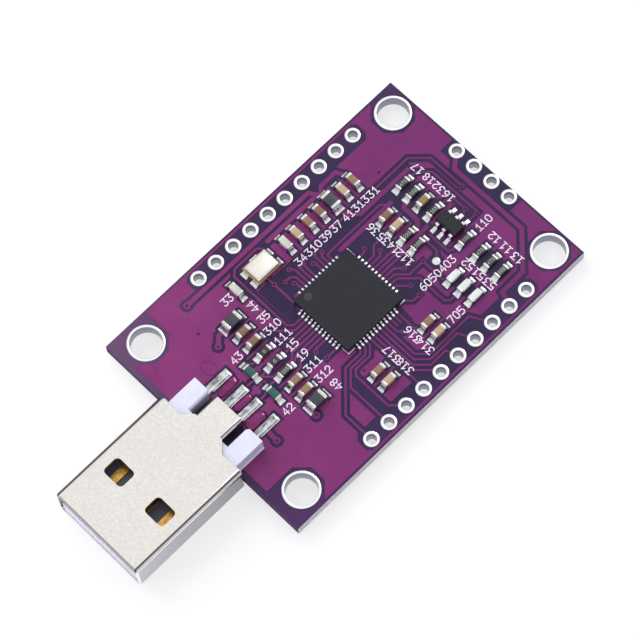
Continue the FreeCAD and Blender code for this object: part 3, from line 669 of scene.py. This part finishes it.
bm = bmesh.new()
for turns in range(4):
    for n in range(LEADS_A_SIDE):
        controller_lead(bm, LEAD_PITCH * (n - (LEADS_A_SIDE - 1) / 2), turns)
pad = rounded_box(bm, (-PAD_HALF, -PAD_HALF, 0), (PAD_HALF, PAD_HALF, PAD_HEIGHT), 0.01, 1)
move(bm, pad, 0, *CONTROLLER, SOLDER_FOOT)
piece("controller_feet", bm, ["leads"], smooth=False, replaced=["controller_leads"])


# Solder over the plug's contact tails, rounded across, and a low dome on the test point

TAIL_SOLDER_LENGTH = 2.55
TAIL_SOLDER_REACH = 0.3
TAIL_SOLDER_HALF = 0.57
TAIL_SOLDER_HEIGHT = 0.1
# Radius and height of each point of the dome
DOME = [(0.01, 0.01), (0.48, 0.01), (0.47, 0.05), (0.36, 0.09), (0.18, 0.11), (0.01, 0.115)]

for x in CONTACT_X:
    joint = mound(
        solder, -TAIL_SOLDER_LENGTH, TAIL_SOLDER_REACH, TAIL_SOLDER_HALF, TAIL_SOLDER_HEIGHT,
        base=TAIL_SOLDER_HEIGHT, steps=(16, 12), hollow=0.5, square=2.0)
    move(solder, joint, 1, x, TAIL_END, SOLDER_FOOT)
revolve(solder, [(r, SOLDER_FOOT + z) for r, z in DOME], *TEST_POINT, segments=28)
piece("solder_fillets", solder, ["solder"], replaced=["solder_joints"])


# Flux residue between and beside the contact tails: low glossy mounds with a wavy, squarish outline

# Middle, half widths and height of each mound, and a number that sets its waves
FLUX = [
    (-1.86, -17.7, 0.5, 1.45, 0.2, 3),
    (0.52, -17.9, 0.42, 1.4, 0.17, 7),
    (2.78, -18.3, 0.72, 1.25, 0.22, 5),
]
FLUX_AROUND = 32
FLUX_STEPS = 6
FLUX_FOOT = BOARD_TOP + 0.002


def flux_mound(bm, x, y, half_x, half_y, height, waves):
    rings = []
    for j in range(1, FLUX_STEPS + 1):
        u = j / FLUX_STEPS
        z = FLUX_FOOT + height * max(0.0, 1 - u ** 3) ** 0.8
        ring = []
        for k in range(FLUX_AROUND):
            angle = 2 * math.pi * k / FLUX_AROUND
            c, s = math.cos(angle), math.sin(angle)
            reach = 1 + 0.06 * math.sin(2 * angle + waves) + 0.05 * math.sin(3 * angle + 2 * waves)
            reach *= u / (c ** 4 + s ** 4) ** 0.25
            ring.append(bm.verts.new((x + half_x * reach * c, y + half_y * reach * s, z)))
        rings.append(ring)
    top = bm.verts.new((x, y, FLUX_FOOT + height))
    for k in range(FLUX_AROUND):
        bm.faces.new((top, rings[0][k - 1], rings[0][k]))
        for inner, outer in zip(rings, rings[1:]):
            bm.faces.new((inner[k - 1], outer[k - 1], outer[k], inner[k]))
    bm.faces.new(rings[-1])


bm = bmesh.new()
for sizes in FLUX:
    flux_mound(bm, *sizes)
piece("flux_residue", bm, ["flux"])


# Dried rim of flux to the left of the tails: a thin wavy ring

FLUX_RIM_MIDDLE = (-4.75, -17.65)
FLUX_RIM_HALF = (0.95, 0.8)
FLUX_RIM_AROUND = 40
# Share of the half width and height of each point across the rim
FLUX_RIM_OUTLINE = [(0.86, 0.0), (0.9, 0.03), (0.96, 0.035), (1.0, 0.0)]

bm = bmesh.new()
rings = []
for k in range(FLUX_RIM_AROUND):
    angle = 2 * math.pi * k / FLUX_RIM_AROUND
    wave = 1 + 0.1 * math.sin(2 * angle + 0.6)
    dx = FLUX_RIM_HALF[0] * wave * math.cos(angle)
    dy = FLUX_RIM_HALF[1] * wave * math.sin(angle)
    rings.append([
        bm.verts.new((FLUX_RIM_MIDDLE[0] + u * dx, FLUX_RIM_MIDDLE[1] + u * dy, BOARD_TOP + lift))
        for u, lift in FLUX_RIM_OUTLINE])
join_rings(bm, rings)
piece("flux_rim", bm, ["copper"])


# Strip of poured foil between each long pin row and the board's edge

STRIP_X = (13.66, 13.92)
STRIP_HALF_LENGTH = 13.0
STRIP_SINK = 0.03
STRIP_LIFT = 0.002

bm = bmesh.new()
for side in (-1, 1):
    low, high = sorted(side * x for x in STRIP_X)
    rounded_box(
        bm, (low, -STRIP_HALF_LENGTH, BOARD_TOP - STRIP_SINK),
        (high, STRIP_HALF_LENGTH, BOARD_TOP + STRIP_LIFT), 0.004, 1)
piece("edge_strips", bm, ["copper"], smooth=False)


# Tip of the tongue, close behind the plug's mouth

TIP_HALF_WIDTH = 5.45
TIP_BACK = (0.12, 0.6)
TIP_BOTTOM = -0.24
TIP_TOP = BOARD_TOP - 0.01

bm = bmesh.new()
near, far = [SHELL_FRONT + back for back in TIP_BACK]
rounded_box(
    bm, (PLUG_X - TIP_HALF_WIDTH, near, TIP_BOTTOM), (PLUG_X + TIP_HALF_WIDTH, far, TIP_TOP), 0.08, 3)
piece("tongue_tip", bm, ["insulator"])


# Crystal lid with a pressed rim

# Half widths, foot, top and rounding of the lid and of the raised field on it
LID = [(1.13, 1.48, 0.0, 0.34, 0.12), (0.98, 1.33, 0.2, 0.4, 0.08)]

bm = bmesh.new()
for half_x, half_y, low, high, radius in LID:
    rounded_box(bm, (-half_x, -half_y, low), (half_x, half_y, high), radius, 3)
move(bm, bm.verts, 0, *CRYSTAL, CRYSTAL_TOP)
piece("crystal_cover", bm, ["crystal_lid"], replaced=["crystal_lid"])


# Silkscreen: strokes of one width. Numbers only, in a sequence of their own

DIGIT_WIDTH = 0.6
DIGIT_STEP = 0.88
# Bent lines of each digit, for a height of one
STROKES = {
    "0": [[(0, .2), (0, .8), (.2, 1), (.4, 1), (.6, .8), (.6, .2), (.4, 0), (.2, 0), (0, .2)]],
    "1": [[(.1, .75), (.35, 1), (.35, 0)], [(.1, 0), (.6, 0)]],
    "2": [[(0, .8), (.2, 1), (.4, 1), (.6, .8), (.6, .6), (0, 0), (.6, 0)]],
    "3": [[(0, 1), (.6, 1), (.3, .6), (.6, .4), (.6, .15), (.4, 0), (.15, 0), (0, .15)]],
    "4": [[(.45, 0), (.45, 1), (0, .3), (.6, .3)]],
    "5": [[(.6, 1), (0, 1), (0, .55), (.4, .6), (.6, .4), (.6, .2), (.4, 0), (0, 0)]],
    "6": [[(.5, 1), (.2, .85), (0, .5), (0, .2), (.2, 0), (.4, 0), (.6, .2), (.6, .4), (.4, .55), (0, .45)]],
    "7": [[(0, 1), (.6, 1), (.2, 0)]],
    "8": [[(.2, .55), (0, .75), (.2, 1), (.4, 1), (.6, .75), (.4, .55), (.2, .55), (0, .3), (.2, 0),
           (.4, 0), (.6, .3), (.4, .55)]],
    "9": [[(.6, .55), (.2, .45), (0, .6), (0, .8), (.2, 1), (.4, 1), (.6, .8), (.6, .5), (.4, .15), (.1, 0)]],
}


def stroke(bm, points, width, z, thick):
    """A flat strip of one width along a bent line, mitred at its bends."""
    spots = [Vector(point) for point in points]
    runs = [(b - a).normalized() for a, b in zip(spots, spots[1:])]
    looped = (spots[0] - spots[-1]).length < 1e-6
    if not looped:
        spots[0] = spots[0] - runs[0] * (width / 2)
        spots[-1] = spots[-1] + runs[-1] * (width / 2)
    tops, lows = [], []
    for k, spot in enumerate(spots):
        before = runs[k - 1] if (k > 0 or looped) else runs[0]
        after = runs[k] if k < len(runs) else (runs[0] if looped else runs[-1])
        total = before + after
        across = Vector((-total.y, total.x))
        side = across * (width / max(across.dot(across), 0.6))
        edges = (spot + side, spot - side)
        tops.append([bm.verts.new((*edge, z + thick)) for edge in edges])
        lows.append([bm.verts.new((*edge, z)) for edge in edges])
    for k in range(len(spots) - 1):
        bm.faces.new((tops[k][0], tops[k + 1][0], tops[k + 1][1], tops[k][1]))
        bm.faces.new((lows[k][0], lows[k][1], lows[k + 1][1], lows[k + 1][0]))
        bm.faces.new((tops[k][0], lows[k][0], lows[k + 1][0], tops[k + 1][0]))
        bm.faces.new((tops[k][1], tops[k + 1][1], lows[k + 1][1], lows[k][1]))
    for k in (0, -1):
        bm.faces.new((tops[k][0], tops[k][1], lows[k][1], lows[k][0]))


def number(bm, text, x, y, angle, height, width, z, thick):
    """A line of digits centred on a point."""
    turn = Matrix.Rotation(math.radians(angle), 2)
    total = DIGIT_STEP * (len(text) - 1) + DIGIT_WIDTH
    for k, digit in enumerate(text):
        for line in STROKES[digit]:
            spots = [turn @ Vector((u + k * DIGIT_STEP - total / 2, v - 0.5)) * height for u, v in line]
            stroke(bm, [(x + spot.x, y + spot.y) for spot in spots], width, z, thick)


# Digits, middle and angle of each number beside the parts
LABELS = [
    ("17", -5.0, 13.4, 180), ("18", -3.35, 13.4, 180), ("32", -1.9, 13.4, 180), ("16", -0.45, 13.4, 180),
    ("12", 6.3, 13.35, 180), ("11", 7.95, 13.35, 180), ("13", 9.6, 13.35, 180), ("110", 4.3, 13.8, 90),
    ("52", 6.4, 9.25, 180), ("51", 7.95, 9.25, 180), ("53", 9.5, 9.25, 180),
    ("6050403", 4.8, 6.35, 90), ("705", 9.45, 4.35, 90),
    ("36", -3.5, 5.2, 180), ("35", -1.95, 5.2, 180), ("14", -0.5, 5.2, 180), ("112", 1.15, 5.2, 180),
    ("316", 7.75, -0.35, 180), ("314", 9.55, -0.35, 180), ("317", 7.7, -3.4, 180), ("318", 9.6, -3.4, 180),
    ("31", -6.5, 8.2, 90), ("313", -6.5, 6.35, 90), ("41", -6.5, 4.5, 90), ("37", -6.5, 2.75, 90),
    ("39", -6.5, 1.25, 90), ("310", -6.5, -0.65, 90), ("34", -6.5, -2.5, 90), ("33", -8.8, -11.05, 90),
    ("44", -6.35, -9.7, 180), ("35", -4.7, -9.75, 90), ("310", -3.3, -9.85, 90), ("111", -1.75, -9.85, 90),
    ("15", -0.4, -9.85, 90), ("19", 1.15, -9.85, 90), ("311", 2.65, -9.85, 90), ("312", 4.2, -9.85, 90),
    ("48", 5.95, -9.75, 180), ("43", -3.5, -14.9, 90), ("42", 4.3, -15.1, 90),
]
# Corner marks and short lines beside the chips
MARKS = [
    [(-3.85, 1.75), (-2.8, 1.75)],
    [(4.45, 1.2), (4.45, 1.8)],
    [(3.55, -6.45), (4.5, -6.45), (4.5, -5.6)],
    [(-10.25, -5.4), (-10.25, -6.3)],
]
LABEL_HEIGHT = 0.82
LABEL_STROKE = 0.12
MARK_STROKE = 0.13
INK_FOOT = BOARD_TOP - 0.001
INK_THICK = 0.012

bm = bmesh.new()
for text, x, y, angle in LABELS:
    number(bm, text, x, y, angle, LABEL_HEIGHT, LABEL_STROKE, INK_FOOT, INK_THICK)
for line in MARKS:
    stroke(bm, line, MARK_STROKE, INK_FOOT, INK_THICK)
piece("silkscreen", bm, ["ink"], smooth=False)


# Resistance codes on the resistors

CODES = ["0", "0", "103", "471", "102", "103", "102", "471", "471", "102", "221", "103"]
CODE_HEIGHT = 0.34
CODE_STROKE = 0.06
CODE_SINK = 0.016
CODE_THICK = 0.006

bm = bmesh.new()
for k, code in enumerate(CODES, 1):
    low, high = packed_box(f"resistor_{k}")
    x, y = packed_middle(f"resistor_{k}")
    number(bm, code, x, y, 90, CODE_HEIGHT, CODE_STROKE, high.z - CODE_SINK, CODE_THICK)
piece("resistor_codes", bm, ["ink_faint"], smooth=False)


# Vias: a small dimple in the mask

# Radius and height over the board of each point of a dimple
DIMPLE = [(0.01, -0.01), (0.13, -0.01), (0.14, 0.004), (0.01, 0.003)]

bm = bmesh.new()
for x, y in VIAS:
    revolve(bm, [(r, BOARD_TOP + z) for r, z in DIMPLE], x, y, segments=16)
piece("via_dimples", bm, ["via"])


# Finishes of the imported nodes

WELD = 0.002


def finish(node, material, width=0.0):
    """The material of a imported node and, where a width in millimetres is given, its rounded edges."""
    obj = nodes[node]
    obj.data.materials.clear()
    obj.data.materials.append(MATERIALS[material])
    if width:
        weld = obj.modifiers.new("weld", "WELD")
        weld.merge_threshold = WELD * MM
        bevel = obj.modifiers.new("bevel", "BEVEL")
        bevel.width = width * MM
        bevel.segments = 2
        bevel.limit_method = "ANGLE"
        bevel.angle_limit = math.radians(40)
        bevel.harden_normals = True
        bevel.miter_outer = "MITER_ARC"


finish("circuit_board", "laminate")
finish("top_copper", "copper")
finish("bottom_copper", "copper")
finish("controller_body", "chip_main", 0.05)
finish("memory_body", "chip_small", 0.05)
finish("memory_leads", "solder", 0.02)
finish("crystal_base", "crystal_base", 0.05)
finish("usb_shell", "steel", 0.06)
finish("usb_insulator", "insulator", 0.08)
for k in range(1, 5):
    finish(f"usb_contact_{k}", f"contact_{k}", 0.02)


# Floor: the part rests on the plug's lower rear edge and the board's far lower edge

FLOOR_REACH = 900.0
FLOOR_GAP = 0.03


def floor_material():
    """Off-white paper, lit a little from within where the camera or a reflection sees it."""
    n = Nodes("floor")
    n.set(Base_Color=(0.93, 0.935, 0.955, 1.0), Roughness=0.9, Specular_IOR_Level=0.1)
    path = n.new("LightPath")
    seen = n.math("ADD", path.outputs["Is Camera Ray"], path.outputs["Is Glossy Ray"])
    seen = n.math("ADD", seen, path.outputs["Is Transmission Ray"], True)
    glow = n.new("Emission")
    blend = n.new("MixShader")
    n.link(n.math("MULTIPLY", seen, 0.65), blend.inputs["Fac"])
    n.link(n.bsdf.outputs["BSDF"], blend.inputs[1])
    n.link(glow.outputs["Emission"], blend.inputs[2])
    n.link(blend.outputs["Shader"], n.tree.nodes["Material Output"].inputs["Surface"])
    return n.mat


slope = -SHELL_BOTTOM / (BOARD_FAR - SHELL_REAR)
bm = bmesh.new()
for side_x, side_y in ((-1, -1), (1, -1), (1, 1), (-1, 1)):
    y = side_y * FLOOR_REACH
    bm.verts.new((side_x * FLOOR_REACH, y, (y - BOARD_FAR) * slope - FLOOR_GAP))
bm.faces.new(bm.verts)
bmesh.ops.scale(bm, vec=(MM, MM, MM), verts=bm.verts)
mesh = bpy.data.meshes.new("floor")
bm.to_mesh(mesh)
bm.free()
mesh.materials.append(floor_material())
floor = bpy.data.objects.new("floor", mesh)
bpy.context.scene.collection.objects.link(floor)


# Light, in metres

AIM = (0, -0.005, 0)


def area_light(name, place, size, energy, colour=(1, 1, 1), glint=False):
    """A lamp aimed at the part. A glint is only mirrored in it, and any other lamp only shines on it."""
    data = bpy.data.lights.new(name, "AREA")
    data.shape = "RECTANGLE"
    data.size, data.size_y = size
    data.energy = energy
    data.color = colour
    obj = bpy.data.objects.new(name, data)
    obj.location = place
    obj.rotation_euler = (Vector(AIM) - Vector(place)).to_track_quat("-Z", "Y").to_euler()
    obj.visible_glossy = glint
    obj.visible_diffuse = not glint
    bpy.context.scene.collection.objects.link(obj)


def surround():
    """A grey surround by height: dark below the horizon, bright overhead."""
    world = bpy.data.worlds.new("surround")
    bpy.context.scene.world = world
    world.use_nodes = True
    tree = world.node_tree
    tree.nodes.clear()
    output = tree.nodes.new("ShaderNodeOutputWorld")
    background = tree.nodes.new("ShaderNodeBackground")
    coords = tree.nodes.new("ShaderNodeTexCoord")
    split = tree.nodes.new("ShaderNodeSeparateXYZ")
    ramp = tree.nodes.new("ShaderNodeValToRGB")
    levels = ((0.05, 0.15), (0.24, 0.5), (0.5, 0.78), (0.88, 0.98))
    set_stops(ramp.color_ramp, [(place, (level, level, level * 1.02, 1)) for place, level in levels])
    tree.links.new(coords.outputs["Generated"], split.inputs["Vector"])
    tree.links.new(split.outputs["Z"], ramp.inputs["Fac"])
    tree.links.new(ramp.outputs["Color"], background.inputs["Color"])
    tree.links.new(background.outputs["Background"], output.inputs["Surface"])


# A broad soft lamp from the upper left, a weaker one behind the camera, and a small one for glints
area_light("key", (-0.50, 0.02, 0.36), (0.6, 0.6), 2.7, (1.0, 0.99, 0.98))
area_light("front", (-0.25, -0.50, 0.22), (0.4, 0.25), 0.9, (0.98, 0.98, 1.0))
area_light("glint", (-0.10, 0.30, 0.38), (0.1, 0.1), 0.38, glint=True)
surround()


# Camera of the photograph, in metres and radians, as solved from the pin and mounting holes

camera_data = bpy.data.cameras.new("camera")
camera_data.sensor_width = 36.0
camera_data.lens = 169.244
camera_data.clip_start = 0.01
camera_data.clip_end = 10.0
camera = bpy.data.objects.new("camera", camera_data)
camera.location = (0.0880216, -0.0778920, 0.2919337)
camera.rotation_euler = (0.3719859, 0.0396114, 0.7855318)
bpy.context.scene.collection.objects.link(camera)
bpy.context.scene.camera = camera
bpy.context.scene.view_settings.view_transform = "Standard"
